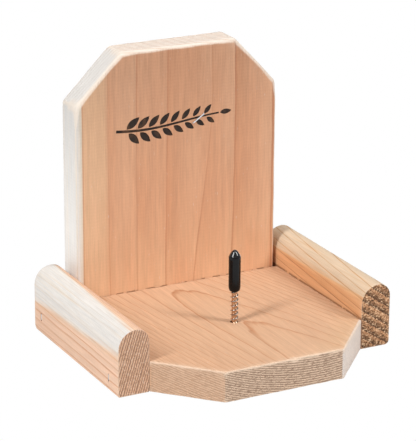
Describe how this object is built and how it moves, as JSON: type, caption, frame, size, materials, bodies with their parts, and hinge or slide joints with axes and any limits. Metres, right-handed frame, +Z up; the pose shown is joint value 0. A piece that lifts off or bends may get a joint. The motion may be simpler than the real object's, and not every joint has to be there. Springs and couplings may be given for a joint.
{
  "type": "corn cob squirrel feeder",
  "caption": "Cedar platform feeder with a clipped-corner back board, two round-topped side rails and an upright screw with a pull-off tip cap for a cob of corn.",
  "frame": {"origin": "on the ground, at the middle of the whole object's box", "axes": "+X to the right as seen from the front, across both rails; +Y from the platform's front edge to the back board's rear face; +Z up"},
  "size_m": [0.1792, 0.1556, 0.1702],
  "materials": {
    "cedar_back_board": "planed western red cedar, unfinished, grain upright",
    "cedar_platform": "planed western red cedar, unfinished, grain front to back",
    "cedar_left_rail": "planed cedar, pale sapwood above and heartwood below",
    "cedar_right_rail": "planed cedar, pale top and amber heartwood side",
    "screw_steel": "zinc-plated steel",
    "staple_wire": "galvanised wire",
    "black_vinyl": "glossy dipped vinyl"
  },
  "bodies": {
    "stand": {"back_board": "cedar_back_board", "base_board": "cedar_platform", "left_rail": "cedar_left_rail", "right_rail": "cedar_right_rail", "corn_screw": "screw_steel", "back_screw_left": "screw_steel", "back_screw_right": "screw_steel", "left_rail_front_staple": "staple_wire", "left_rail_rear_staple": "staple_wire", "right_rail_front_staple": "staple_wire", "right_rail_rear_staple": "staple_wire", "tag_staple": "staple_wire"},
    "cap": {"screw_tip_cap": "black_vinyl"}
  },
  "joints": [
    {"name": "cap_pull", "type": "slide", "parent": "stand", "child": "cap", "axis": [0, 0, 1], "range_m": [0, 0.03]}
  ]
}
